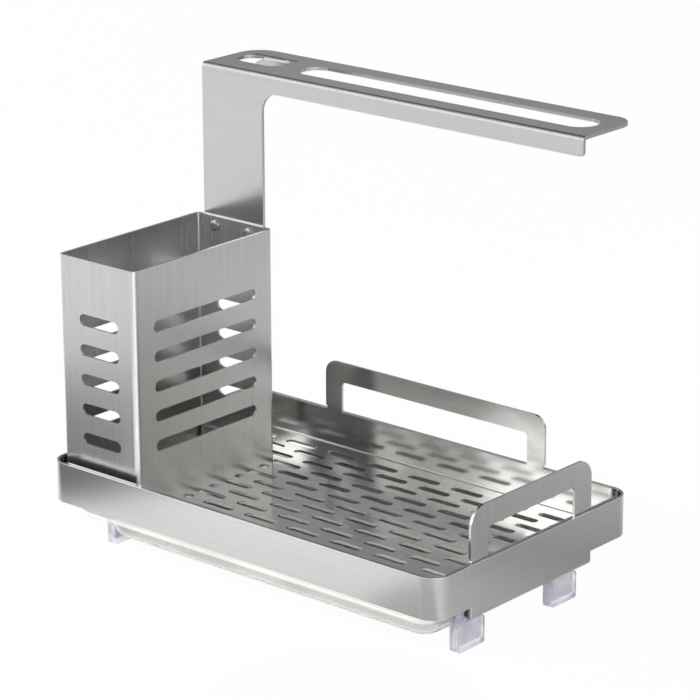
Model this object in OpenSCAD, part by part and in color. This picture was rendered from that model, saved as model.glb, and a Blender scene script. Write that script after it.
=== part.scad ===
// Kitchen sponge holder of folded sheet steel: a perforated tray inside a rim band, a slotted
// brush cup, a cloth arm bolted to the cup, and a clear drip tray that slides out to the front.
// Millimetres. X runs along the holder, the front is at -Y, and Z = 0 is the counter.

/* [Rim band] */
// Length of the band over its outside
rim_len = 235; // [215:1:300]
// Depth of the band over its outside
rim_depth = 141.8; // [132:0.1:180]
// Height of the band's wall
rim_h = 19.6; // [15:0.1:30]
// Outside radius of the band's corners
rim_r = 9.8; // [8:0.1:12]
// Thickness of the band's sheet
band_t = 1.3; // [1:0.1:1.6]

/* [Skirts and ledges] */
// Height of the ledges' underside above the counter
ledge_z = 13.5; // [11:0.1:20]
// Depth of the end skirts below the band's wall
skirt_drop = 6.2; // [6:0.1:9]
// Distance of the skirts from the front of the band
skirt_front = 24; // [20:0.5:28]
// Length of each skirt
skirt_len = 86.6; // [80:0.1:95]
// Width of the left ledge from the outside of the band
ledge_left = 29.6; // [29:0.1:36]
// Width of the right ledge from the outside of the band
ledge_right = 8.4; // [7.5:0.1:11]
// Outside radius of the band sheet's bends
band_bend = 2; // [1.7:0.1:2.6]

/* [Drain tray] */
// Thickness of the drain tray's sheet
tray_t = 1.2; // [0.8:0.1:1.6]
// Gap between the band and the tray's flanges
nest_gap = 0.3; // [0.1:0.05:0.5]
// Height of the floor's underside above the band's lower edge
floor_lift = 1; // [0.8:0.1:3]
// Inside radius of the folds round the floor
floor_bend = 0.8; // [0.5:0.1:1]
// Length of one drain slot
drain_len = 18.7; // [12:0.1:22]
// Width of one drain slot
drain_w = 4.4; // [2:0.1:6]
// Distance from slot to slot along a row
drain_pitch = 26.04; // [24:0.02:34]
// Distance from row to row
row_pitch = 8.77; // [7:0.01:14]
// Distance of the first slot's middle from the left end of the band
drain_first = 19.2; // [17:0.1:22]
// Distance of the last row from the back of the band
row_back = 13.5; // [10:0.1:16]

/* [Guards] */
// Thickness-wide round relief at the foot of each guard leg, radius
relief_r = 1; // [0.5:0.1:1.5]
// Height of the back guard above the rim
back_guard_h = 25.7; // [18:0.1:40]
// Length of the back guard
back_guard_len = 134.6; // [80:0.1:145]
// Distance of the back guard from the left end of the band
back_guard_x = 52.1; // [50:0.1:58]
// Width of the back guard's bar
back_guard_bar = 9.9; // [6:0.1:13]
// Width of the back guard's legs
back_guard_leg = 10.3; // [6:0.1:13]
// Outside radius of the back guard's corners
back_guard_r = 6.5; // [4:0.1:10]
// Height of the end guard above the rim
end_guard_h = 24.9; // [18:0.1:40]
// Length of the end guard
end_guard_len = 86.9; // [60:0.1:95]
// Distance of the end guard from the front of the band
end_guard_y = 25.5; // [18:0.1:30]
// Width of the end guard's bar
end_guard_bar = 11; // [6:0.1:13]
// Width of the end guard's legs
end_guard_leg = 12.4; // [6:0.1:14]
// Outside radius of the end guard's corners
end_guard_r = 9.5; // [4:0.1:11]
// Radius of the corners inside both guards
guard_inner_r = 2.2; // [1:0.1:4]

/* [Brush cup] */
// Width of the cup along the holder
cup_w = 48.3; // [46:0.1:56]
// Depth of the cup
cup_d = 94.1; // [90:0.1:104]
// Height of the cup
cup_h = 117.3; // [105:0.1:150]
// Thickness of the cup's sheet
cup_t = 1.2; // [0.8:0.1:1.6]
// Outside radius of the cup's corners
cup_r = 2.6; // [2:0.1:5]
// Gap between the cup and the left flange
cup_gap_left = 0.9; // [0.8:0.1:3]
// Gap between the cup and the front flange
cup_gap_front = 4.4; // [1:0.1:6]
// Rows of slots in the cup
slot_rows = 5; // [2:1:6]
// Distance from row to row of the cup's slots
slot_pitch = 14.5; // [10:0.1:16]
// Height of one slot
slot_h = 5.8; // [3:0.1:8]
// Distance of the top slot's middle from the cup's mouth
slot_top = 29.2; // [28:0.1:34]
// Length of the slots in the front and back walls
narrow_slot = 24.7; // [15:0.1:34]
// Distance of those slots to the right of their walls' middle
narrow_shift = 1; // [0:0.1:3]
// Length of the slots in the two wide walls
wide_slot = 68.9; // [40:0.1:80]

/* [Cup base] */
// Thickness of the base plate
base_t = 1.2; // [0.8:0.1:2]
// Height of the plate's turned-up ends
base_lip = 9; // [5:0.5:14]
// Number of drain slots in the plate
base_slots = 5; // [1:1:6]
// Length of the plate's drain slots
base_slot_len = 30; // [15:1:36]
// Width of the plate's drain slots
base_slot_w = 5; // [3:0.5:7]

/* [Cloth arm] */
// Thickness of the arm's sheet
arm_t = 1.6; // [1.2:0.1:2]
// Height of the arm's top above the cup's mouth
arm_h = 74.4; // [50:0.1:110]
// Length of the post that overlaps the cup's back wall
arm_overlap = 24; // [16:0.5:25]
// Length of the arm
arm_len = 225.2; // [160:0.1:228]
// Width of the post
post_w = 38.1; // [36:0.1:42]
// Distance of the post from the cup's left side
post_in = 4.1; // [1:0.1:6]
// Height of the beam's front face
beam_h = 9.1; // [6:0.1:14]
// Depth of the beam's top flange
beam_d = 39.2; // [34:0.1:39.4]
// Outside radius of the bend along the beam
arm_bend = 2; // [1.7:0.1:3]
// Radius of the inner corner between post and beam
arm_fillet = 9.5; // [4:0.1:14]
// Radius of the flange's back left corner
arm_r_left = 12; // [4:0.5:14]
// Radius of the flange's back right corner
arm_r_right = 10; // [4:0.5:14]
// Length of the cloth slot
cloth_len = 170.5; // [100:0.5:172]
// Width of the cloth slot
cloth_w = 17.9; // [10:0.1:20]
// Distance of the cloth slot from the arm's right end
cloth_end = 8; // [6:0.5:12]
// Distance of the cloth slot from the arm's front
cloth_front = 11.3; // [8:0.1:13]
// Length of the hanging hole
hang_len = 28.7; // [24:0.1:31]
// Width of the hanging hole
hang_w = 14.9; // [10:0.1:16]
// Distance of the hanging hole from the arm's left end
hang_left = 6.7; // [5:0.1:8]
// Distance of the hanging hole from the arm's front
hang_front = 13.2; // [9:0.1:14]

/* [Screws and nuts] */
// Diameter of the screws
screw_d = 3; // [2.5:0.1:4]
// Clearance of the screws in their holes, on the diameter
screw_gap = 0.2; // [0.1:0.05:0.6]
// Diameter of the domed heads
head_d = 5.4; // [5:0.1:7]
// Height of the domed heads
head_h = 1.6; // [1:0.1:2]
// Width of the nuts across their flats
nut_af = 5.5; // [5:0.1:7]
// Height of the nuts
nut_h = 2.4; // [1.5:0.1:3]
// Clearance of a nut on its screw, on the diameter
nut_gap = 0.1; // [0.05:0.01:0.2]
// Distance between the two arm screws
arm_screw_gap = 21.8; // [14:0.1:26]
// Distance of the arm screws below the cup's mouth
arm_screw_drop = 4.6; // [4:0.1:10]

/* [Drip tray] */
// Wall of the drip tray
drip_t = 1.3; // [0.8:0.1:1.6]
// Distance of the tray's lip from the left end of the band
lip_left = 12.5; // [8:0.1:20]
// Distance of the lip from the front of the band
lip_front = 3.2; // [1:0.1:10]
// Depth of the lip from front to back
lip_depth = 119; // [100:0.5:125]
// Height of the lip
lip_h = 3; // [2.2:0.1:3.3]
// Radius of the lip's corners
lip_r = 10; // [6:0.5:14]
// Depth of the tray below the lip's top
drip_drop = 10.7; // [8:0.1:12]
// Distance of the tray's front and back walls inside the lip
drip_inset = 2.2; // [1.8:0.1:5]
// Radius of the tray's corners seen from above
drip_r = 10.5; // [9:0.5:14]
// Radius of the tray's lower edges
drip_edge = 6; // [3:0.1:7]
// Gap between the lip and the ledges
slide_gap = 0.3; // [0.2:0.05:0.5]
// Gap between the tray and what guides it at each side
side_gap = 0.5; // [0.3:0.05:1]

/* [Feet] */
// Thickness of a foot along the holder
foot_t = 5.6; // [4.5:0.1:7]
// Width of a foot from front to back
foot_w = 20.5; // [16:0.1:24]
// Radius of a foot's lower corners seen from the end
foot_r = 2.6; // [1.5:0.1:4]
// Radius of a foot's upper corners seen from the end
foot_top_r = 4.5; // [2:0.1:6]
// Radius of a foot's upright edges
foot_edge = 2.4; // [0.8:0.1:2.6]
// Thickness of the foot's sole below its tab
sole = 2.4; // [1.5:0.1:4]
// Width of the foot's wall round the tab
foot_wall = 2.4; // [1.5:0.1:3]
// Gap between a foot and the steel in it
foot_gap = 0.05; // [0.03:0.01:0.1]
// Distance of the left feet's middle from the left end of the band
foot_left = 27.75; // [25:0.05:28]
// Distance of the right feet's middle from the right end of the band
foot_right = 4; // [3.6:0.1:5]
// Distance of the front left foot's middle from the front of the band
foot_y_left = 22; // [14:0.1:26]
// Distance of the front right foot's middle from the front of the band
foot_y_right = 26.5; // [23:0.1:30]
// Distance of the rear feet's middle from the front of the band
foot_y_rear = 93; // [84:0.5:98]
// Height of the front right tab's ear above the ledge's underside
ear_h = 4.4; // [2:0.1:5.5]
// Gap between that ear and the front edge of the skirt
ear_gap = 1.4; // [1:0.1:3]
// Thickness of the foot's sleeve round the ear
ear_wall = 0.5; // [0.4:0.05:0.6]

/* [Hidden] */
$fn = 48;
steel = [0.74, 0.74, 0.73];
screw_steel = [0.66, 0.66, 0.67];
clear_plastic = [0.88, 0.91, 0.92];
silicone = [0.84, 0.84, 0.92];
tiny = 0.01;

// Outside faces of the band, and the heights of the sheets above the counter
x_left = -rim_len / 2;
x_right = rim_len / 2;
y_front = -rim_depth / 2;
y_back = rim_depth / 2;
ledge_top = ledge_z + band_t;
rim_z = ledge_z + skirt_drop;
rim_top = rim_z + rim_h;
floor_under = rim_z + floor_lift;
floor_z = floor_under + tray_t;
cup_z = floor_z;
cup_top = cup_z + cup_h;
arm_top = cup_top + arm_h;

// Distances from the outside of the band to the two faces of the tray's flanges
flange_out = band_t + nest_gap;
flange_in = flange_out + tray_t;
floor_edge = flange_in + floor_bend;

// The perforated rows: their number, and how many slots the two staggered kinds hold
drain_edge = 9.8;
rows = floor((rim_depth - row_back - drain_edge - drain_w / 2) / row_pitch) + 1;
function drain_start(row) = drain_first + (row % 2) * drain_pitch / 2;
function drain_count(row) =
    floor((rim_len - drain_edge - drain_len / 2 - drain_start(row)) / drain_pitch) + 1;

// The cup
cup_x0 = x_left + flange_in + cup_gap_left;
cup_x1 = cup_x0 + cup_w;
cup_y0 = y_front + flange_in + cup_gap_front;
cup_y1 = cup_y0 + cup_d;
cup_xm = (cup_x0 + cup_x1) / 2;
cup_ym = (cup_y0 + cup_y1) / 2;
inside_gap = 0.1;

// The cup's screws sit in the webs between the slots of two even rows
cup_screw_x = x_left + drain_first + drain_pitch / 2;
cup_screw_back = y_back - row_back - row_pitch * 2 * ceil((y_back - row_back - cup_y1 + 8) / row_pitch / 2);
cup_screw_rows = 2 * floor((cup_screw_back - cup_y0 - 8) / row_pitch / 2);
cup_screw_ys = [cup_screw_back, cup_screw_back - cup_screw_rows * row_pitch];
base_slot_pitch = (cup_screw_ys[0] - cup_screw_ys[1]) / (base_slots + 1);

// The arm stands against the back of the cup
arm_x0 = cup_x0 + post_in;
arm_y0 = cup_y1 + inside_gap;
arm_z0 = cup_top - arm_overlap;
arm_screw_z = cup_top - arm_screw_drop;
arm_screw_xs = [arm_x0 + (post_w - arm_screw_gap) / 2, arm_x0 + (post_w + arm_screw_gap) / 2];
hang_neck = hang_len - hang_w;

// Feet and tabs
tab_w = foot_w - 2 * foot_wall;
foot_x_left = x_left + foot_left;
foot_x_right = x_right - foot_right;
skirt_y0 = y_front + skirt_front;
ear_y0 = y_front + foot_y_right - tab_w / 2;
ear_len = max(skirt_y0 - ear_gap - ear_y0, tiny);

// The drip tray rests on the ledges and runs between them and the feet
lip_z = ledge_top + slide_gap;
lip_top = lip_z + lip_h;
lip_x0 = x_left + lip_left;
lip_x1 = foot_x_right - band_t / 2 - 2 * side_gap;
lip_y0 = y_front + lip_front;
drip_x0 = x_left + max(ledge_left, foot_left + foot_t / 2) + side_gap;
drip_x1 = x_right - max(ledge_right, foot_right + foot_t / 2) - side_gap;
drip_y0 = lip_y0 + drip_inset;
drip_depth = lip_depth - 2 * drip_inset;

// Rectangle with round corners about its middle
module rounded(w, d, r) {
    square([w - 2 * r, d], center = true);
    square([w, d - 2 * r], center = true);
    for (sx = [-1, 1], sy = [-1, 1])
        translate([sx * (w / 2 - r), sy * (d / 2 - r)]) circle(r);
}

// Slot with round ends about its middle
module stadium(length, width) {
    square([length - width, width], center = true);
    for (s = [-1, 1]) translate([s * (length - width) / 2, 0]) circle(width / 2);
}

// Folded strip in section: the outside of the fold is at the origin, the legs run along +X and +Y
module fold(leg_x, leg_y, t, r) {
    translate([r, 0]) square([leg_x - r, t]);
    translate([0, r]) square([t, leg_y - r]);
    translate([r, r]) intersection() {
        difference() {
            circle(r);
            circle(r - t);
        }
        translate([-r, -r]) square(r);
    }
}

// Extrusions along X, and along Y towards the back
module along_x(length) rotate([90, 0, 90]) linear_extrude(length) children();
module along_y(length) translate([0, length, 0]) rotate([90, 0, 0]) linear_extrude(length) children();

// Band round the holder, with the end skirts, their ledges and the tabs for the feet
module rim_band() {
    color(steel) union() {
        translate([0, 0, rim_z]) linear_extrude(rim_h) difference() {
            rounded(rim_len, rim_depth, rim_r);
            rounded(rim_len - 2 * band_t, rim_depth - 2 * band_t, rim_r - band_t);
        }
        translate([x_left, skirt_y0, ledge_z]) skirt(ledge_left);
        translate([x_right, skirt_y0, ledge_z]) mirror([1, 0, 0]) skirt(ledge_right);
        tab(foot_x_left, foot_y_left);
        tab(foot_x_left, foot_y_rear);
        tab(foot_x_right, foot_y_right);
        tab(foot_x_right, foot_y_rear);
        translate([foot_x_right - band_t / 2, ear_y0, ledge_z - tiny]) cube([band_t, ear_len, ear_h + tiny]);
    }
}

module skirt(ledge) {
    along_y(skirt_len) fold(ledge, skirt_drop + 1, band_t, band_bend);
}

// Tab that hangs from a ledge, level with the ledge's top where it runs past its front edge
module tab(x, y) {
    y0 = y_front + y - tab_w / 2;
    translate([x - band_t / 2, y0, sole]) cube([band_t, tab_w, ledge_z - sole + tiny]);
    translate([x - band_t / 2, y0, ledge_z])
        cube([band_t, max(skirt_y0 - y0 + tiny, tiny), band_t]);
}

// Perforated floor, its four flanges, and the guards that rise from two of them
module drain_tray() {
    flange_h = rim_top - floor_under;
    fold_r = floor_bend + tray_t;
    len_x = rim_len - 2 * rim_r;
    len_y = rim_depth - 2 * rim_r;
    color(steel) union() {
        translate([0, 0, floor_under]) linear_extrude(tray_t) difference() {
            square([rim_len - 2 * floor_edge, rim_depth - 2 * floor_edge], center = true);
            for (row = [0 : rows - 1], i = [0 : drain_count(row) - 1])
                translate([x_left + drain_start(row) + i * drain_pitch, y_back - row_back - row * row_pitch])
                    stadium(drain_len, drain_w);
            for (y = cup_screw_ys) translate([cup_screw_x, y]) circle(d = screw_d + screw_gap);
        }
        translate([-len_x / 2, y_front + flange_out, floor_under])
            along_x(len_x) fold(fold_r + tiny, flange_h, tray_t, fold_r);
        translate([-len_x / 2, y_back - flange_out, floor_under])
            mirror([0, 1, 0]) along_x(len_x) fold(fold_r + tiny, flange_h, tray_t, fold_r);
        translate([x_left + flange_out, -len_y / 2, floor_under])
            along_y(len_y) fold(fold_r + tiny, flange_h, tray_t, fold_r);
        translate([x_right - flange_out, -len_y / 2, floor_under])
            mirror([1, 0, 0]) along_y(len_y) fold(fold_r + tiny, flange_h, tray_t, fold_r);
        translate([x_left + back_guard_x, y_back - flange_in, rim_top]) along_y(tray_t)
            guard(back_guard_len, back_guard_h, back_guard_bar, back_guard_leg, back_guard_r);
        translate([x_right - flange_in, y_front + end_guard_y, rim_top]) along_x(tray_t)
            guard(end_guard_len, end_guard_h, end_guard_bar, end_guard_leg, end_guard_r);
    }
}

// Guard seen from the front: a bar on two legs, with a small relief beside each leg's foot
module guard(length, height, bar, leg, r) {
    inner_h = height - bar;
    difference() {
        union() {
            translate([0, -tiny]) square([length, height - r + tiny]);
            translate([r, 0]) square([length - 2 * r, height]);
            for (x = [r, length - r]) translate([x, height - r]) circle(r);
        }
        translate([leg, -1]) square([length - 2 * leg, inner_h - guard_inner_r + 1]);
        translate([leg + guard_inner_r, 0]) square([length - 2 * (leg + guard_inner_r), inner_h]);
        for (x = [leg + guard_inner_r, length - leg - guard_inner_r])
            translate([x, inner_h - guard_inner_r]) circle(guard_inner_r);
        for (x = [0, length]) translate([x, relief_r]) circle(relief_r);
    }
}

// Slotted sleeve for brushes
module brush_cup() {
    color(steel) difference() {
        translate([cup_xm, cup_ym, cup_z]) linear_extrude(cup_h) difference() {
            rounded(cup_w, cup_d, cup_r);
            rounded(cup_w - 2 * cup_t, cup_d - 2 * cup_t, max(cup_r - cup_t, 0.5));
        }
        for (i = [0 : slot_rows - 1]) translate([cup_xm, cup_ym, cup_top - slot_top - i * slot_pitch]) {
            translate([narrow_shift, -cup_d / 2 - 1, 0]) along_y(cup_d + 2) stadium(narrow_slot, slot_h);
            translate([-cup_w / 2 - 1, 0, 0]) along_x(cup_w + 2) stadium(wide_slot, slot_h);
        }
        for (x = arm_screw_xs) translate([x, cup_ym, arm_screw_z])
            along_y(cup_d) circle(d = screw_d + screw_gap);
    }
}

// Plate in the bottom of the cup, with its two ends turned up against the narrow walls
module cup_base() {
    w = cup_w - 2 * (cup_t + inside_gap);
    d = cup_d - 2 * (cup_t + inside_gap);
    end_w = w - 2 * cup_r;
    fold_r = 2 * base_t;
    color(steel) union() {
        translate([0, 0, cup_z]) linear_extrude(base_t) difference() {
            translate([cup_xm, cup_ym]) square([w, d - 2 * fold_r], center = true);
            for (y = cup_screw_ys) translate([cup_screw_x, y]) circle(d = screw_d + screw_gap);
            for (i = [1 : base_slots])
                translate([cup_xm, cup_screw_ys[1] + i * base_slot_pitch]) stadium(base_slot_len, base_slot_w);
        }
        for (m = [0, 1]) translate([cup_xm, cup_ym, cup_z]) mirror([0, m, 0])
            translate([-end_w / 2, -d / 2, 0]) along_x(end_w) fold(fold_r + tiny, base_lip, base_t, fold_r);
    }
}

// Round-headed screw: the head's flat is at the origin, the shank runs along +Z
module screw(length) {
    dome = 0.6;
    difference() {
        union() {
            cylinder(d = screw_d, h = length);
            translate([0, 0, dome - head_h]) cylinder(d = head_d, h = head_h - dome);
            translate([0, 0, dome - head_h]) rotate_extrude() difference() {
                intersection() {
                    translate([0, dome_centre(dome)]) circle(dome_radius(dome), $fn = 96);
                    translate([0, -dome]) square([head_d / 2, dome + tiny]);
                }
            }
        }
        for (a = [0, 90]) rotate([0, 0, a]) translate([0, 0, -head_h])
            cube([head_d * 0.55, 0.7, 2 * 0.6], center = true);
    }
}

// Sphere of which the head's dome is the cap
function dome_radius(h) = (pow(head_d / 2, 2) + h * h) / (2 * h);
function dome_centre(h) = dome_radius(h) - h;

module nut() {
    difference() {
        cylinder(d = nut_af / cos(30), h = nut_h, $fn = 6);
        translate([0, 0, -1]) cylinder(d = screw_d + nut_gap, h = nut_h + 2);
    }
}

// Screws up through the floor and the base plate
module cup_screws() {
    color(screw_steel) for (y = cup_screw_ys) translate([cup_screw_x, y, floor_under])
        screw(tray_t + base_t + nut_h + 0.6);
}

module cup_nuts() {
    color(screw_steel) for (y = cup_screw_ys) translate([cup_screw_x, y, cup_z + base_t]) nut();
}

// Folded arm: post, beam and top flange, with the cloth slot and the hanging hole
module cloth_arm() {
    post_h = arm_top - arm_z0;
    cloth_x = arm_x0 + arm_len - cloth_end - cloth_len / 2;
    cloth_y = arm_y0 + cloth_front + cloth_w / 2;
    hang_x = arm_x0 + hang_left + hang_len / 2;
    hang_y = arm_y0 + hang_front + hang_w / 2;
    hang_back = hang_y + hang_w / 2;
    color(steel) difference() {
        union() {
            intersection() {
                translate([arm_x0, arm_y0, arm_top]) along_x(arm_len)
                    mirror([0, 1]) fold(beam_d, post_h, arm_t, arm_bend);
                translate([arm_x0, arm_y0 - 1, arm_top]) along_y(beam_d + 2) arm_front(post_h);
                translate([arm_x0, arm_y0, arm_z0 - 1]) linear_extrude(post_h + 2) arm_plan();
            }
            translate([hang_x, hang_back, arm_top - arm_bend - hang_w / 2])
                along_y(arm_t) stadium(hang_len, hang_w);
            translate([hang_x - hang_neck / 2, hang_back, arm_top]) along_x(hang_neck)
                mirror([0, 1]) fold(arm_bend + 1, arm_bend + 2, arm_t, arm_bend);
        }
        translate([cloth_x, cloth_y, arm_top - arm_t - 1]) linear_extrude(arm_t + 2) stadium(cloth_len, cloth_w);
        translate([0, 0, arm_top - arm_t - tiny]) linear_extrude(arm_t + 1) difference() {
            translate([hang_x, hang_y]) stadium(hang_len, hang_w);
        }
        translate([hang_x, hang_back, arm_top]) along_x(hang_neck) hang_corner();
        translate([hang_x - hang_neck, hang_back, arm_top]) along_x(hang_neck) hang_corner();
        for (x = arm_screw_xs) translate([x, arm_y0 - 1, arm_screw_z])
            along_y(arm_t + 2) circle(d = screw_d + screw_gap);
    }
}

// Metal that the slug's fold leaves out at the far edge of the hanging hole
module hang_corner() {
    translate([-tiny, -arm_bend]) difference() {
        square([arm_bend + tiny, arm_bend + tiny]);
        translate([arm_bend + tiny, 0]) circle(arm_bend);
    }
}

// The arm seen from the front, with the top left corner at the origin
module arm_front(post_h) {
    end_r = 1.8;
    union() {
        translate([0, -post_h]) square([post_w, post_h]);
        translate([0, -beam_h]) square([arm_len - end_r, beam_h]);
        translate([0, end_r - beam_h]) square([arm_len, beam_h - end_r]);
        translate([arm_len - end_r, end_r - beam_h]) circle(end_r);
        difference() {
            translate([post_w - tiny, -beam_h - arm_fillet]) square([arm_fillet + tiny, arm_fillet + tiny]);
            translate([post_w + arm_fillet, -beam_h - arm_fillet]) circle(arm_fillet);
        }
    }
}

// The arm seen from above, with the front left corner at the origin
module arm_plan() {
    square([arm_len / 2, beam_d - arm_r_left]);
    translate([arm_len / 2, 0]) square([arm_len / 2, beam_d - arm_r_right]);
    translate([arm_r_left, 0]) square([arm_len - arm_r_left - arm_r_right, beam_d]);
    translate([arm_r_left, beam_d - arm_r_left]) circle(arm_r_left);
    translate([arm_len - arm_r_right, beam_d - arm_r_right]) circle(arm_r_right);
}

// Screws through the cup's back wall and the post, with their heads inside the cup
module arm_screws() {
    color(screw_steel) for (x = arm_screw_xs) translate([x, cup_y1 - cup_t, arm_screw_z])
        rotate([-90, 0, 0]) screw(cup_t + inside_gap + arm_t + nut_h + 0.6);
}

module arm_nuts() {
    color(screw_steel) for (x = arm_screw_xs) translate([x, arm_y0 + arm_t, arm_screw_z])
        rotate([-90, 0, 0]) nut();
}

// Solid with round corners and round lower edges, about its middle, standing on Z = 0
module pan(w, d, h, r, edge) {
    translate([-w / 2 + r, 0, 0]) along_x(w - 2 * r) pan_section(d, h, edge);
    translate([0, -d / 2 + r, 0]) along_y(d - 2 * r) pan_section(w, h, edge);
    for (sx = [-1, 1], sy = [-1, 1]) translate([sx * (w / 2 - r), sy * (d / 2 - r), 0])
        rotate_extrude() intersection() {
            pan_section(2 * r, h, edge);
            square([r, h]);
        }
}

module pan_section(w, h, edge) {
    translate([-w / 2, edge]) square([w, h - edge]);
    translate([edge - w / 2, 0]) square([w - 2 * edge, h]);
    for (s = [-1, 1]) translate([s * (w / 2 - edge), edge]) circle(edge);
}

// Clear tray: a flat lip with a turned-down rim round a shallow pan
module drip_tray() {
    lip_w = lip_x1 - lip_x0;
    pan_w = drip_x1 - drip_x0;
    lip_at = [(lip_x0 + lip_x1) / 2, lip_y0 + lip_depth / 2, 0];
    pan_at = [(drip_x0 + drip_x1) / 2, drip_y0 + drip_depth / 2, lip_top - drip_drop];
    color(clear_plastic) difference() {
        union() {
            translate([lip_at.x, lip_at.y, lip_z]) linear_extrude(lip_h) difference() {
                rounded(lip_w, lip_depth, lip_r);
                rounded(lip_w - 2 * drip_t, lip_depth - 2 * drip_t, lip_r - drip_t);
            }
            translate([lip_at.x, lip_at.y, lip_top - drip_t]) linear_extrude(drip_t)
                rounded(lip_w, lip_depth, lip_r);
            translate(pan_at) pan(pan_w, drip_depth, drip_drop, drip_r, drip_edge);
        }
        translate([pan_at.x, pan_at.y, pan_at.z + drip_t])
            pan(pan_w - 2 * drip_t, drip_depth - 2 * drip_t, drip_drop, drip_r - drip_t, drip_edge - drip_t);
    }
}

// Soft foot with a pocket for its tab
module foot(x, y, sleeve = false) {
    height = ledge_z - foot_gap;
    sleeve_w = band_t + 2 * (foot_gap + ear_wall);
    color(silicone) translate([x, y_front + y, 0]) difference() {
        union() {
            intersection() {
                linear_extrude(height) rounded(foot_t, foot_w, min(foot_edge, foot_t / 2 - tiny));
                translate([-foot_t / 2, 0, height]) along_x(foot_t) rounded(foot_w, 2 * height, foot_r);
                translate([-foot_t / 2, 0, 0]) along_x(foot_t) rounded(foot_w, 2 * height, foot_top_r);
            }
            if (sleeve) translate([0, ear_y0 + ear_len / 2 - y_front - y, height - foot_top_r])
                linear_extrude(foot_top_r + ear_h)
                    rounded(sleeve_w, max(ear_len, 2) + sleeve_w - band_t, ear_wall);
        }
        translate([-band_t / 2 - foot_gap, -tab_w / 2 - foot_gap, sole - foot_gap])
            cube([band_t + 2 * foot_gap, tab_w + 2 * foot_gap, height + ear_h]);
    }
}

module foot_front_left() foot(foot_x_left, foot_y_left);
module foot_front_right() foot(foot_x_right, foot_y_right, true);
module foot_rear_left() foot(foot_x_left, foot_y_rear);
module foot_rear_right() foot(foot_x_right, foot_y_rear);

rim_band();
drain_tray();
brush_cup();
cup_base();
cup_screws();
cup_nuts();
cloth_arm();
arm_screws();
arm_nuts();
drip_tray();
foot_front_left();
foot_front_right();
foot_rear_left();
foot_rear_right();
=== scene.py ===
"""Kitchen sponge holder of folded sheet steel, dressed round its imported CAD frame.

The file follows the holder as it is put together: camera and studio, rim band, drain tray, brush
cup, cloth arm, screws and nuts, drip tray and feet. Sizes and places are in metres.
"""

from math import cos, pi, radians, sin

import bpy
from mathutils import Matrix, Vector


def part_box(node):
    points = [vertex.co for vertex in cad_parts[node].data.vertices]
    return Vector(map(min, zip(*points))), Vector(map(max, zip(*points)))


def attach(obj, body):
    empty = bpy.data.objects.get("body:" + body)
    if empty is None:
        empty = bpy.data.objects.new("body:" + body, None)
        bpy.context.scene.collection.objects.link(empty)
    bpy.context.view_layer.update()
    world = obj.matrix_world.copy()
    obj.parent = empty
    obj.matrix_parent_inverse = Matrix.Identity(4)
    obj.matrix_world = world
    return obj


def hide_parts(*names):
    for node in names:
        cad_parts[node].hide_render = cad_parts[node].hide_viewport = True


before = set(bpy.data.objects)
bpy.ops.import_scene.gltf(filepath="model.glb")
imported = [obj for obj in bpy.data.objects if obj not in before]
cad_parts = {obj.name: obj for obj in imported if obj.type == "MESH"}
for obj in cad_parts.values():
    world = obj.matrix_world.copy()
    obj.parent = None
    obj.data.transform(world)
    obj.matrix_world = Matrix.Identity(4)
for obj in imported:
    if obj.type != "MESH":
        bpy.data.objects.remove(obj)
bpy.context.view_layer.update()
scene = bpy.context.scene
scene.view_settings.view_transform = "Standard"


# Camera. A long lens stands off the holder's right front corner and looks down on it a little.
# Only the lens and the sensor are in millimetres.
camera_at = (0.89517, -1.03126, 0.54823)
camera_turn = radians(40.68)
camera_down = radians(18.16)
camera_roll = radians(-0.17)
lens_length = 161.6
sensor_width = 36
sight_end = 20

bpy.ops.object.camera_add(location=camera_at)
camera = bpy.context.object
camera.name = "photo_camera"
camera.rotation_euler = (
    Matrix.Rotation(camera_turn, 3, "Z")
    @ Matrix.Rotation(pi / 2 - camera_down, 3, "X")
    @ Matrix.Rotation(camera_roll, 3, "Z")
).to_euler()
camera.data.lens = lens_length
camera.data.sensor_width = sensor_width
camera.data.clip_end = sight_end
scene.camera = camera


# Studio. The pale floor carries a painted shadow under and behind the holder, seen through the
# drain slots, and three soft spots of painted shade that the steel mirrors. Eight soft boxes stand
# round, three of them out of the steel's sight. The room glows low down, and the steel shows the
# gaps between the glows as its darker tones.
floor_size = 8
floor_tone = (0.8, 0.8, 0.8, 1)
floor_white = 0.97
pure_white = (1, 1, 1, 1)
# Painted shadow: a dark tone laid on the floor under and behind the holder, where there is only
# shade.
painted_shadow_tone = (0.1, 0.1, 0.1, 1)
# Each edge of the painted shadow fades in from the first place to the second: left and right
# along X, with the right edge skewed, and front and back along Y.
painted_shadow_left = (-0.115, -0.09)
painted_shadow_right = (0.092, 0.077)
painted_shadow_skew = 0.25
painted_shadow_front = (-0.03, -0.022)
painted_shadow_back = (0.146, 0.104)
# Behind these places along Y every ray finds the painted shadow dark, and in front of them only
# a ray that comes through clear plastic or silicone does.
painted_shadow_for_all = (0.06, 0.085)
# Soft spots of painted shade on the floor, seen in the steel's reflections.
painted_shade_spots = (
    # x, y, radius of the dark core, radius of its soft edge, and depth of each spot
    (-0.22, -0.17, 0.06, 0.12, 0.9),
    (0.21, 0.1, 0.05, 0.11, 0.3),
    (0.11, -0.127, 0.05, 0.075, 0.45),
)
room_glows = (
    # turn from +X and height in degrees, sharpness and strength of each glow
    (49, 22, 20, 0.9),
    (229, 22, 20, 2.05),
    (240, 12, 20, 0.8),
    (312, 10, 20, 1.4),
    (320, 35, 12, 0.9),
    (340, 12, 20, 7.2),
    (130, 16, 50, 0.5),
)
lamp_target = Vector((0, 0, 0.05))


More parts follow.
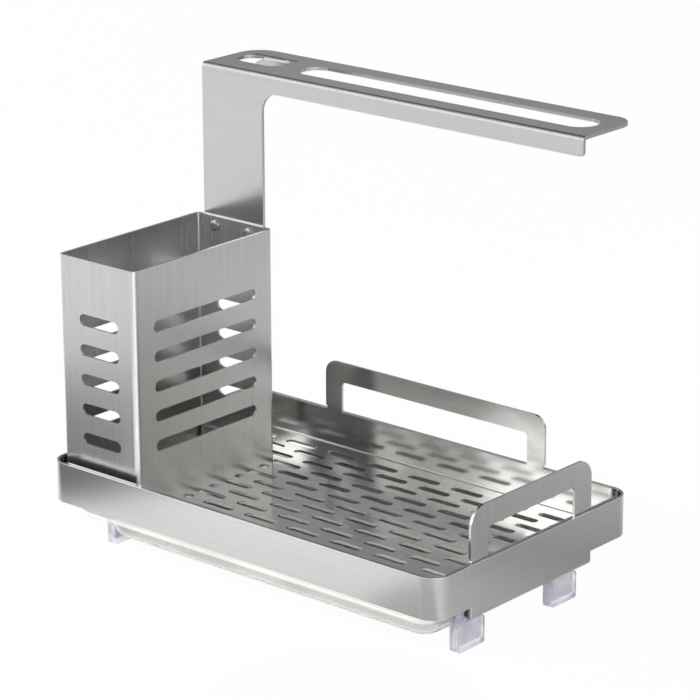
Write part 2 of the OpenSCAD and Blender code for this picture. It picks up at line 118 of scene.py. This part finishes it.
class Number:
    """A number that flows between nodes: arithmetic on it adds Math nodes."""

    def __init__(self, recipe, socket):
        self.recipe = recipe
        self.socket = socket

    def maths(self, operation, *values):
        return self.recipe.node("ShaderNodeMath", {"operation": operation}, dict(enumerate(values)))

    def __add__(self, other):
        return self.maths("ADD", self, other)

    def __sub__(self, other):
        return self.maths("SUBTRACT", self, other)

    def __rsub__(self, other):
        return self.maths("SUBTRACT", other, self)

    def __mul__(self, other):
        return self.maths("MULTIPLY", self, other)

    __radd__ = __add__
    __rmul__ = __mul__

    def larger(self, other):
        return self.maths("MAXIMUM", self, other)

    def exponential(self):
        return self.maths("EXPONENT", self)

    def ramp(self, low, high):
        """0 at low, 1 at high, and smooth between them."""
        settings = {"interpolation_type": "SMOOTHSTEP"}
        return self.recipe.node("ShaderNodeMapRange", settings, {0: self, 1: low, 2: high})


class Recipe:
    """The nodes of one material or world."""

    def __init__(self, owner):
        owner.use_nodes = True
        self.tree = owner.node_tree
        self.tree.nodes.clear()

    def node(self, kind, settings=None, inputs=None, output=0):
        made = self.tree.nodes.new(kind)
        for name, value in (settings or {}).items():
            setattr(made, name, value)
        for name, value in (inputs or {}).items():
            if isinstance(value, Number):
                self.tree.links.new(value.socket, made.inputs[name])
            else:
                made.inputs[name].default_value = value
        return Number(self, made.outputs[output]) if made.outputs else made

    def place(self):
        return self.node("ShaderNodeTexCoord", output="Object")

    def along(self, axis):
        """How far a point lies along one axis."""
        return self.node("ShaderNodeSeparateXYZ", inputs={"Vector": self.place()}, output=axis)

    def noise(self, place, scale, detail):
        inputs = {"Vector": place, "Scale": scale, "Detail": detail}
        return self.node("ShaderNodeTexNoise", inputs=inputs)

    def colours(self, factor, first, second):
        """A mix of two colours, which the Mix node takes on sockets 6 and 7 and gives on 2."""
        settings = {"data_type": "RGBA"}
        return self.node("ShaderNodeMix", settings, {0: factor, 6: first, 7: second}, output=2)

    def bump(self, relief, strength, depth):
        inputs = {"Height": relief, "Strength": strength, "Distance": depth}
        return self.node("ShaderNodeBump", inputs=inputs)


def floor_paint(name):
    """White to the camera, but for the lit paint on the painted shadow; the steel sees painted
    shade spots too.
    """
    made = bpy.data.materials.new(name)
    paint = Recipe(made)
    seen = paint.node("ShaderNodeLightPath", output="Is Camera Ray")
    through = paint.node("ShaderNodeLightPath", output="Is Transmission Ray")
    x = paint.along("X")
    y = paint.along("Y")
    # The painted shadow under and behind the holder, dark to rays through clear plastic and behind
    # the holder.
    painted_shadow = x.ramp(*painted_shadow_left) * (x + painted_shadow_skew * y).ramp(*painted_shadow_right)
    painted_shadow = painted_shadow * y.ramp(*painted_shadow_front) * y.ramp(*painted_shadow_back)
    dark = painted_shadow * through.larger(y.ramp(*painted_shadow_for_all))
    # Soft spots of painted shade, which the steel mirrors.
    for spot_x, spot_y, core, reach, depth in painted_shade_spots:
        away_squared = (x - spot_x) * (x - spot_x) + (y - spot_y) * (y - spot_y)
        dark = dark.larger(away_squared.ramp(reach**2, core**2) * depth)
    tone = paint.colours(dark, floor_tone, painted_shadow_tone)
    lit = paint.node("ShaderNodeBsdfDiffuse", inputs={"Color": tone})
    white = paint.node("ShaderNodeEmission", inputs={"Color": pure_white, "Strength": 1.0})
    share = (seen + through) * (1 - painted_shadow) * floor_white
    shown = paint.node("ShaderNodeMixShader", inputs={0: share, 1: lit, 2: white})
    paint.node("ShaderNodeOutputMaterial", inputs={"Surface": shown})
    return made


def room_light(name):
    """White to the camera and through clear plastic; all else sees soft glows low down."""
    made = bpy.data.worlds.new(name)
    room = Recipe(made)
    direction = room.node("ShaderNodeTexCoord", output="Generated")
    glow = 0
    for turn, height, sharpness, strength in room_glows:
        flat = cos(radians(height))
        towards = (cos(radians(turn)) * flat, sin(radians(turn)) * flat, sin(radians(height)))
        settings = {"operation": "DOT_PRODUCT"}
        aim = room.node("ShaderNodeVectorMath", settings, {0: direction, 1: towards}, "Value")
        glow = glow + strength * ((aim - 1) * sharpness).exponential()
    seen = room.node("ShaderNodeLightPath", output="Is Camera Ray")
    through = room.node("ShaderNodeLightPath", output="Is Transmission Ray")
    clear = seen.larger(through)
    brightness = glow * (1 - clear) + clear
    inputs = {"Color": pure_white, "Strength": brightness}
    back = room.node("ShaderNodeBackground", inputs=inputs)
    room.node("ShaderNodeOutputWorld", inputs={"Surface": back})
    return made


def soft_box(name, location, size, power, in_steel=True):
    """A square lamp turned to the holder, which the steel mirrors only if in_steel is set."""
    bpy.ops.object.light_add(type="AREA", location=location)
    lamp = bpy.context.object
    lamp.name = name
    lamp.data.size = size
    lamp.data.energy = power
    lamp.visible_glossy = in_steel
    lamp.visible_camera = False
    lamp.rotation_euler = (lamp.location - lamp_target).to_track_quat("Z", "Y").to_euler()


bpy.ops.mesh.primitive_plane_add(size=floor_size)
floor = bpy.context.object
floor.name = "studio_floor"
floor.data.materials.append(floor_paint("floor_paint"))
scene.world = room_light("studio_world")
soft_box("box_far_left", (-2.95, -0.52, 0.64), size=1.6, power=132, in_steel=False)
soft_box("box_low_back", (0.1, 0.5, 0.35), size=0.3, power=0.48, in_steel=False)
soft_box("box_low_front", (-0.06, -0.36, 0.25), size=0.3, power=1.0, in_steel=False)
soft_box("box_left", (-0.55, -0.65, 0.5), size=0.9, power=1.7)
soft_box("box_front", (-0.1, -0.9, 0.5), size=0.8, power=1.2)
soft_box("box_right", (0.8, -0.2, 0.5), size=0.7, power=0.95)
soft_box("box_high_left", (-0.6, -0.3, 0.75), size=0.7, power=1.0)
soft_box("box_high_back", (0.3, 0.75, 0.65), size=0.6, power=0.6)


# Rim band. One strip of 1.3 mm cold-rolled stainless, brushed along its length, is bent round the
# tray, and its ends are butt-welded at the front right bend and ground flush. The end skirts and
# ledges are folded from it, and its cut edges are eased by tumbling.
merge_within = 2e-6
flat_within = radians(0.6)
sharp_from = radians(40)
sheet_ease = 0.0002
sheet_colour = (0.62, 0.62, 0.61, 1)
sheet_shade = (0.52, 0.52, 0.51, 1)
# The eased edges are rougher from wear and painted a light grey, a painted highlight.
edge_highlight_colour = (0.86, 0.86, 0.85, 1)
worn_rough = 0.26
# How many streaks lie side by side in a metre of sheet, and how many end to end.
grain_across = 1100
grain_along = 11
streak_detail = 2
streak_range = (0.3, 0.7)
streak_rough = 0.1
streak_relief = 0.06
streak_depth = 2e-5
# The streaks swing round the middle tone by the first share, and by the second at full contrast.
plain_swing = 0.3
full_swing = 0.62
cloud_scale = 22
cloud_detail = 3
cloud_rough = 0.05
band_low, band_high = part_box("rim_band")
weld_from_end = 0.0088
weld_x = band_high.x - weld_from_end
weld_half = 0.0003
weld_reach = 0.0019
weld_back = band_low.y + weld_reach
weld_fade = 0.0005
weld_relief = 10
weld_rough = 0.1


def worked_copy(node, body, ease, steps=2):
    """A copy of a CAD node, merged into whole faces, its sharp edges eased and marked for wear and
    painted light.
    """
    bpy.ops.object.select_all(action="DESELECT")
    piece = bpy.data.objects.new(node + "_finished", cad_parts[node].data.copy())
    scene.collection.objects.link(piece)
    piece.select_set(True)
    bpy.context.view_layer.objects.active = piece
    bpy.ops.mesh.customdata_custom_splitnormals_clear()
    bpy.ops.object.mode_set(mode="EDIT")
    bpy.ops.mesh.select_all(action="SELECT")
    bpy.ops.mesh.remove_doubles(threshold=merge_within)
    bpy.ops.mesh.dissolve_limited(angle_limit=flat_within)
    bpy.ops.object.mode_set(mode="OBJECT")
    # The faces of the eased edges go to a second material slot, and that tells where steel is worn
    # and takes the painted edge colour.
    eased = piece.modifiers.new("eased_edges", "BEVEL")
    eased.width = ease
    eased.segments = steps
    eased.angle_limit = sharp_from
    eased.material = 1
    piece.data.materials.append(None)
    bpy.ops.object.modifier_apply(modifier="eased_edges")
    wear_and_painted_light = [float(face.material_index) for face in piece.data.polygons]
    piece.data.attributes.new("wear_and_painted_light", "FLOAT", "FACE").data.foreach_set("value", wear_and_painted_light)
    bpy.ops.object.shade_smooth_by_angle(angle=sharp_from)
    evened = piece.modifiers.new("even_normals", "WEIGHTED_NORMAL")
    evened.keep_sharp = True
    bpy.ops.object.modifier_apply(modifier="even_normals")
    piece.data.materials.clear()
    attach(piece, body)
    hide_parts(node)
    return piece


def lay_grain(piece, on_ends, on_fronts, on_flats):
    """Stores where each corner lies in the brushing, from the axes that cross it on each facing."""
    corners = []
    for face in piece.data.polygons:
        facing = [abs(value) for value in face.normal]
        crossing = (on_ends, on_fronts, on_flats)[facing.index(max(facing))]
        stretch = [grain_across if axis in crossing else grain_along for axis in "xyz"]
        for corner in face.loop_indices:
            at = piece.data.vertices[piece.data.loops[corner].vertex_index].co
            corners.extend(place * scale for place, scale in zip(at, stretch))
    grain = piece.data.attributes.new("brushing", "FLOAT_VECTOR", "CORNER")
    grain.data.foreach_set("vector", corners)


def brushed_steel(
    name,
    rough=0.2,
    contrast=1.0,
    weld=False,
    colour=sheet_colour,
    shade=sheet_shade,
    edge=edge_highlight_colour,
):
    """Stainless sheet with fine brushing; the weld is a ground line down the band's front."""
    made = bpy.data.materials.new(name)
    steel = Recipe(made)
    brushing = steel.node("ShaderNodeAttribute", {"attribute_name": "brushing"}, output="Vector")
    wear_and_painted_light = steel.node("ShaderNodeAttribute", {"attribute_name": "wear_and_painted_light"}, output="Fac")
    streaks = steel.noise(brushing, scale=1, detail=streak_detail)
    clouds = steel.noise(steel.place(), cloud_scale, cloud_detail)
    roughness = rough + (streaks - 0.5) * (streak_rough * contrast) + (clouds - 0.5) * cloud_rough
    roughness = roughness + wear_and_painted_light * worn_rough
    light = streaks.ramp(*streak_range)
    relief = streaks
    if weld:
        x = steel.along("X")
        y = steel.along("Y")
        line = x.ramp(weld_x - weld_half, weld_x) * x.ramp(weld_x + weld_half, weld_x)
        seam = line * (1 - y.ramp(weld_back, weld_back + weld_fade))
        light = light + seam
        relief = relief + seam * weld_relief
        roughness = roughness + seam * weld_rough
    light = (light - 0.5) * (plain_swing + (full_swing - plain_swing) * contrast) + 0.5
    # Marked edges and bends take the edge colour: a painted highlight where it is lighter than the
    # sheet, painted shade where it is darker.
    tone = steel.colours(wear_and_painted_light, steel.colours(light, shade, colour), edge)
    surface = steel.node(
        "ShaderNodeBsdfPrincipled",
        inputs={
            "Base Color": tone,
            "Metallic": 1.0,
            "Roughness": roughness,
            "Normal": steel.bump(relief, streak_relief * contrast, streak_depth),
        },
    )
    steel.node("ShaderNodeOutputMaterial", inputs={"Surface": surface})
    return made


rim_band = worked_copy("rim_band", "holder", sheet_ease)
lay_grain(rim_band, on_ends="z", on_fronts="z", on_flats="x")
rim_band.data.materials.append(brushed_steel("rim_band_steel", contrast=0.12, weld=True))


# Drain tray. One sheet of 1.2 mm stainless, brushed along the holder, with punched staggered
# slots. Its four flanges are folded up inside the band, and the two guards rise from them.
drain_tray = worked_copy("drain_tray", "holder", sheet_ease)
lay_grain(drain_tray, on_ends="y", on_fronts="z", on_flats="y")
drain_tray.data.materials.append(brushed_steel("drain_tray_steel", rough=0.16, contrast=0.2))


# Brush cup. A sheet of 1.2 mm stainless, brushed up and down, is bent into a sleeve whose walls
# have five punched slots each. Its corner bends are rougher and carry a painted highlight, and a
# plate of the same sheet is welded in as its base.
cup_ease = 0.0003
# The corner bends are painted a lighter grey, a painted highlight.
cup_bend_highlight = (0.72, 0.72, 0.71, 1)
cup_bend_share = 0.58


def mark_bend_wear_and_light(piece, share):
    """Marks for wear and painted light the part of each bend whose facing has at least this share
    of two axes.
    """
    marks = piece.data.attributes["wear_and_painted_light"].data
    for face in piece.data.polygons:
        if sorted(abs(value) for value in face.normal)[1] > share:
            marks[face.index].value = 1.0


brush_cup = worked_copy("brush_cup", "holder", cup_ease)
lay_grain(brush_cup, on_ends="xy", on_fronts="xy", on_flats="xy")
mark_bend_wear_and_light(brush_cup, cup_bend_share)
cup_steel = brushed_steel("brush_cup_steel", rough=0.29, contrast=0.6, edge=cup_bend_highlight)
brush_cup.data.materials.append(cup_steel)

cup_base = worked_copy("cup_base", "holder", sheet_ease)
lay_grain(cup_base, on_ends="x", on_fronts="x", on_flats="x")
cup_base.data.materials.append(brushed_steel("cup_base_steel"))


# Cloth arm. Cut from 1.6 mm stainless, brushed along its beam, and folded once along its top. A
# folded tongue closes the far side of the hanging hole. The fold and the edges are rougher, and
# painted a darker grey as painted shade.
arm_colour = (0.56, 0.56, 0.55, 1)
# The fold and edges are painted a darker grey, a painted shade.
arm_edge_painted_shade = (0.46, 0.46, 0.45, 1)
arm_bend_share = 0.15

cloth_arm = worked_copy("cloth_arm", "holder", sheet_ease)
lay_grain(cloth_arm, on_ends="z", on_fronts="z", on_flats="y")
mark_bend_wear_and_light(cloth_arm, arm_bend_share)
arm_steel = brushed_steel(
    "cloth_arm_steel", rough=0.22, contrast=0.3, colour=arm_colour, edge=arm_edge_painted_shade
)
cloth_arm.data.materials.append(arm_steel)


# Screws and nuts. Turned stainless M3 fasteners with a plain finish. Two screws hold the cup to the
# drain tray from below, and two with domed heads hold the arm to the cup's back wall.
screw_ease = 0.0001
# The fasteners' steel is painted dark grey, a painted shade that dims their highlights.
screw_painted_dark = (0.36, 0.36, 0.36, 1)
screw_painted_dark_streak = (0.28, 0.28, 0.28, 1)

for node in ("cup_screws", "cup_nuts", "arm_screws", "arm_nuts"):
    fastener = worked_copy(node, "holder", screw_ease)
    lay_grain(fastener, on_ends="xyz", on_fronts="xyz", on_flats="xyz")
    finish = brushed_steel(node + "_steel", rough=0.34, colour=screw_painted_dark, shade=screw_painted_dark_streak)
    fastener.data.materials.append(finish)


# Drip tray. Injection-moulded in clear plastic, a little milky, with slow waves left by the mould.
# It hangs by its lip and slides out on the ledges.
plastic_ease = 0.0004
plastic_colour = (0.87, 0.86, 0.84, 1)
plastic_shade = (0.77, 0.76, 0.735, 1)
plastic_rough = 0.05
plastic_clear = 0.85
plastic_ior = 1.49
wave_scale = 26
wave_detail = 1
wave_range = (0.35, 0.65)
wave_rough = 0.04
wave_relief = 0.5
wave_depth = 0.0006
haze_scale = 210
haze_detail = 3
haze_range = (0.5, 0.8)
haze_rough = 0.08
tray_low, tray_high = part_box("drip_tray")
lip_height = 0.0029
lip_low = tray_high.z - lip_height
lip_low_fade = 0.0003
lip_width = 0.0057
lip_back = tray_low.y + lip_width
lip_back_fade = 0.002
no_glow = (0, 0, 0, 1)
# The front lip glows with a painted glow, a painted highlight though it is no lamp.
painted_lip_glow = (0.16, 0.16, 0.16, 1)


def clear_plastic(name):
    """Clear plastic with slow moulding waves and a haze of scuffs; its front lip has a painted
    glow.
    """
    made = bpy.data.materials.new(name)
    plastic = Recipe(made)
    waves = plastic.noise(plastic.place(), wave_scale, wave_detail)
    haze = plastic.noise(plastic.place(), haze_scale, haze_detail)
    height = plastic.along("Z")
    forward = plastic.along("Y")
    lip = height.ramp(lip_low, lip_low + lip_low_fade)
    lip = lip * forward.ramp(lip_back, lip_back - lip_back_fade)
    surface = plastic.node(
        "ShaderNodeBsdfPrincipled",
        inputs={
            "Base Color": plastic.colours(waves.ramp(*wave_range), plastic_shade, plastic_colour),
            "Roughness": plastic_rough + waves * wave_rough + haze.ramp(*haze_range) * haze_rough,
            "IOR": plastic_ior,
            "Transmission Weight": plastic_clear,
            "Emission Color": plastic.colours(lip, no_glow, painted_lip_glow),
            "Emission Strength": 1.0,
            "Normal": plastic.bump(waves, wave_relief, wave_depth),
        },
    )
    plastic.node("ShaderNodeOutputMaterial", inputs={"Surface": surface})
    return made


drip_tray = worked_copy("drip_tray", "drip_tray", plastic_ease, steps=3)
drip_tray.data.materials.append(clear_plastic("drip_tray_plastic"))


# Feet. Four boots moulded from milky silicone and pushed over the tabs below the ledges. The one at
# the front right also sleeves the ear of its tab.
foot_ease = 0.0007
silicone_colour = (0.97, 0.97, 1.0, 1)
silicone_shade = (0.78, 0.78, 0.88, 1)
silicone_rough = 0.1
silicone_clear = 0.75
silicone_ior = 1.41
milk_scale = 150
milk_detail = 2
milk_range = (0.35, 0.65)
milk_rough = 0.1
milk_relief = 4
skin_scale = 420
skin_detail = 2
skin_relief = 0.5
skin_depth = 0.0005


def milky_silicone(name):
    """Soft translucent silicone, cloudy inside and slightly uneven on its skin."""
    made = bpy.data.materials.new(name)
    silicone = Recipe(made)
    milk = silicone.noise(silicone.place(), milk_scale, milk_detail)
    skin = silicone.noise(silicone.place(), skin_scale, skin_detail)
    surface = silicone.node(
        "ShaderNodeBsdfPrincipled",
        inputs={
            "Base Color": silicone.colours(milk.ramp(*milk_range), silicone_shade, silicone_colour),
            "Roughness": silicone_rough + milk * milk_rough,
            "IOR": silicone_ior,
            "Transmission Weight": silicone_clear,
            "Normal": silicone.bump(milk * milk_relief + skin, skin_relief, skin_depth),
        },
    )
    silicone.node("ShaderNodeOutputMaterial", inputs={"Surface": surface})
    return made


for node in ("foot_front_left", "foot_front_right", "foot_rear_left", "foot_rear_right"):
    foot = worked_copy(node, "holder", foot_ease, steps=3)
    foot.data.materials.append(milky_silicone(node + "_silicone"))
